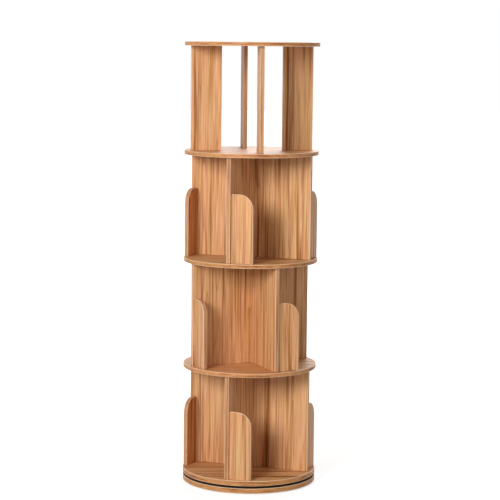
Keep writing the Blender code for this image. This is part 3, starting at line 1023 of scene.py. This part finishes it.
dowel_sections = [
    (DOWEL_DIAMETER / 2 - DOWEL_CHAMFER, DOWEL_DEPTH_IN_DIVIDER),
    (DOWEL_DIAMETER / 2, DOWEL_DEPTH_IN_DIVIDER - DOWEL_CHAMFER),
    (DOWEL_DIAMETER / 2, DOWEL_DEPTH_IN_DIVIDER + DOWEL_CHAMFER - DOWEL_LENGTH),
    (DOWEL_DIAMETER / 2 - DOWEL_CHAMFER, DOWEL_DEPTH_IN_DIVIDER - DOWEL_LENGTH),
]
dowel_pattern = extruded("dowel", dowel_sections, SCREW_STEPS)
BEECH_CAST = (1.10, 1.25, 1.50)
beech = wood_effect(
    "dowel_beech",
    (GRAIN_STRETCH, GRAIN_STRETCH, 1),
    BAND_TONES,
    figure=0.1,
    fibre=0.4,
    cast=BEECH_CAST,
)
for tier in range(FULL_TIERS):
    for arm in range(ARMS):
        turn = arm_turn(tier, arm)
        place = Matrix.Translation((0, 0, floor_of(tier))) @ turn
        stop = copy_to(stop_pattern, place, f"stop_board_{tier + 1}_{arm + 1}")
        outwards = turn @ Vector((1, 0, 0))

        def skin_at(centre, normal):
            lean = abs(normal.dot(outwards))
            return FILM if lean > FLAT_LEAN else edge_skin(lean)

        skins = (upright_films[tier], upright_band, band_core_and_highlight)
        finish_board(stop, skins, skin_at, "carousel", f"book_stop_{tier + 1}_{arm + 1}")
        dowels = joined(
            f"stop_dowels_{tier + 1}_{arm + 1}",
            [copy_to(dowel_pattern, place @ spot @ into_divider, "dowel") for spot in dowel_spots],
        )
        finish_small(dowels, beech, "carousel", "board")
bpy.data.objects.remove(stop_pattern)
bpy.data.objects.remove(dowel_pattern)

# Short dividers: four narrow uprights of the open top tier. They stand near the rim and leave
# the middle open, so that deep things can go through.
short_low = (SHORT_START, SHORT_OFFSET, FIT_GAP)
short_high = (SHORT_REACH, SHORT_OFFSET + board_thickness, clear_height - FIT_GAP)
short_pattern = upright_panel("short_divider", short_low, short_high, [SHORT_START, SHORT_REACH])
bore(
    short_pattern,
    CONNECTOR_SHANK,
    pilot_depth,
    pilot_places(SHORT_SCREW_REACHES, SHORT_OFFSET + board_thickness / 2),
)
for arm in range(ARMS):
    turn = arm_turn(top_tier, arm)
    place = Matrix.Translation((0, 0, floor_of(top_tier))) @ turn
    short_divider = copy_to(short_pattern, place, f"short_divider_board_{arm + 1}")
    outwards = turn @ Vector((1, 0, 0))
    across = turn @ Vector((0, 1, 0))

    def skin_at(centre, normal):
        reach = centre.dot(outwards)
        at_edge = reach > SHORT_REACH - EDGE_ZONE or reach < SHORT_START + EDGE_ZONE
        return edge_skin(normal.dot(across)) if at_edge else FILM

    skins = (upright_films[top_tier], upright_band, band_core_and_highlight)
    finish_board(short_divider, skins, skin_at, "carousel", f"short_divider_{arm + 1}")
bpy.data.objects.remove(short_pattern)

# Floor: a plain white studio sweep on which the bookcase stands. It keeps the shadow under the
# base, and farther out it fades into the white room.
FLOOR_SIZE = 60
FLOOR_GREY = 0.6
NEAR_LIFT = 0.62
FADE_START = 0.7
FADE_END = 3.0
FLOOR_ROUGHNESS = 0.9


def direct_view(tree):
    """One for rays that see a surface from the camera, in a gloss or through glass, or else nought."""
    rays = add_node(tree, "ShaderNodeLightPath")
    seen = maths(tree, "MAXIMUM", rays.outputs["Is Camera Ray"], rays.outputs["Is Glossy Ray"])
    return maths(tree, "MAXIMUM", seen, rays.outputs["Is Transmission Ray"])


bpy.ops.object.select_all(action="DESELECT")
bpy.ops.mesh.primitive_plane_add(size=FLOOR_SIZE)
floor = begun("studio_floor")
white = bpy.data.materials.new("studio_white")
white.use_nodes = True
floor_tree = white.node_tree
floor_shader = floor_tree.nodes["Principled BSDF"]
floor_shader.inputs["Base Color"].default_value = (FLOOR_GREY, FLOOR_GREY, FLOOR_GREY, 1)
floor_shader.inputs["Roughness"].default_value = FLOOR_ROUGHNESS
floor_shader.inputs["Specular IOR Level"].default_value = 0.0
floor_shader.inputs["Emission Color"].default_value = (1, 1, 1, 1)
floor_place = add_node(floor_tree, "ShaderNodeTexCoord").outputs["Object"]
away = add_node(floor_tree, "ShaderNodeVectorMath", {"operation": "LENGTH"})
floor_tree.links.new(floor_place, away.inputs[0])
lift = add_node(
    floor_tree,
    "ShaderNodeMapRange",
    Value=away.outputs["Value"],
    From_Min=FADE_START,
    From_Max=FADE_END,
    To_Min=NEAR_LIFT,
    To_Max=1.0,
).outputs["Result"]
glow = maths(floor_tree, "MULTIPLY", direct_view(floor_tree), lift)
floor_tree.links.new(glow, floor_shader.inputs["Emission Strength"])
floor.data.materials.append(white)

# Light: a large soft box in front on the left, weaker ones in front on the right and behind,
# and an even white room round them. Each box has its place, its side in metres and its watts.
AIM = Vector((0, 0, 0.62))
SOFT_BOXES = [
    ("key_box", Vector((-2.8, -4.9, 2.7)), 2.0, 285),
    ("fill_box", Vector((2.8, -3.4, 2.2)), 2.6, 28),
    ("back_box", Vector((0.8, 3.8, 3.4)), 2.4, 130),
]
for name, spot, size, power in SOFT_BOXES:
    bpy.ops.object.light_add(type="AREA", location=spot)
    lamp = bpy.context.object
    lamp.name = name
    lamp.data.size = size
    lamp.data.energy = power
    lamp.rotation_euler = (AIM - spot).to_track_quat("-Z", "Y").to_euler()

ROOM_LIGHT = 0.25
world = bpy.data.worlds.new("white_room")
bpy.context.scene.world = world
world.use_nodes = True
room = world.node_tree
room.nodes.clear()
ambient = add_node(room, "ShaderNodeBackground", Color=(1, 1, 1, 1), Strength=ROOM_LIGHT)
backdrop = add_node(room, "ShaderNodeBackground", Color=(1, 1, 1, 1), Strength=1.0)
both = add_node(room, "ShaderNodeMixShader", Fac=direct_view(room))
room.links.new(ambient.outputs["Background"], both.inputs[1])
room.links.new(backdrop.outputs["Background"], both.inputs[2])
add_node(room, "ShaderNodeOutputWorld", Surface=both.outputs["Shader"])

# Camera: at eye height in front, a little tilted down, with a long lens. Its place was worked
# out from the shelves' outlines.
SENSOR = 36
FRAME_SIDE = 500
CAMERA_DISTANCE = 5.248
CAMERA_HEIGHT = 1.313
CAMERA_PITCH = 6.663
CAMERA_ROLL = 0.557
CAMERA_YAW = -0.022
FOCAL_PIXELS = 1760.7
pitch, roll, yaw = radians(CAMERA_PITCH), radians(CAMERA_ROLL), radians(CAMERA_YAW)
ahead = Vector((sin(yaw) * cos(pitch), cos(yaw) * cos(pitch), -sin(pitch)))
level_right = Vector((cos(yaw), -sin(yaw), 0))
level_up = level_right.cross(ahead)
right = level_right * cos(roll) + level_up * sin(roll)
up = level_up * cos(roll) - level_right * sin(roll)
bpy.ops.object.camera_add()
camera = bpy.context.object
camera.matrix_world = Matrix.Translation((0, -CAMERA_DISTANCE, CAMERA_HEIGHT)) @ Matrix(
    (
        (right.x, up.x, -ahead.x, 0),
        (right.y, up.y, -ahead.y, 0),
        (right.z, up.z, -ahead.z, 0),
        (0, 0, 0, 1),
    )
)
camera.data.sensor_width = SENSOR
camera.data.lens = FOCAL_PIXELS / FRAME_SIDE * SENSOR
bpy.context.scene.camera = camera
bpy.context.scene.view_settings.view_transform = "Standard"
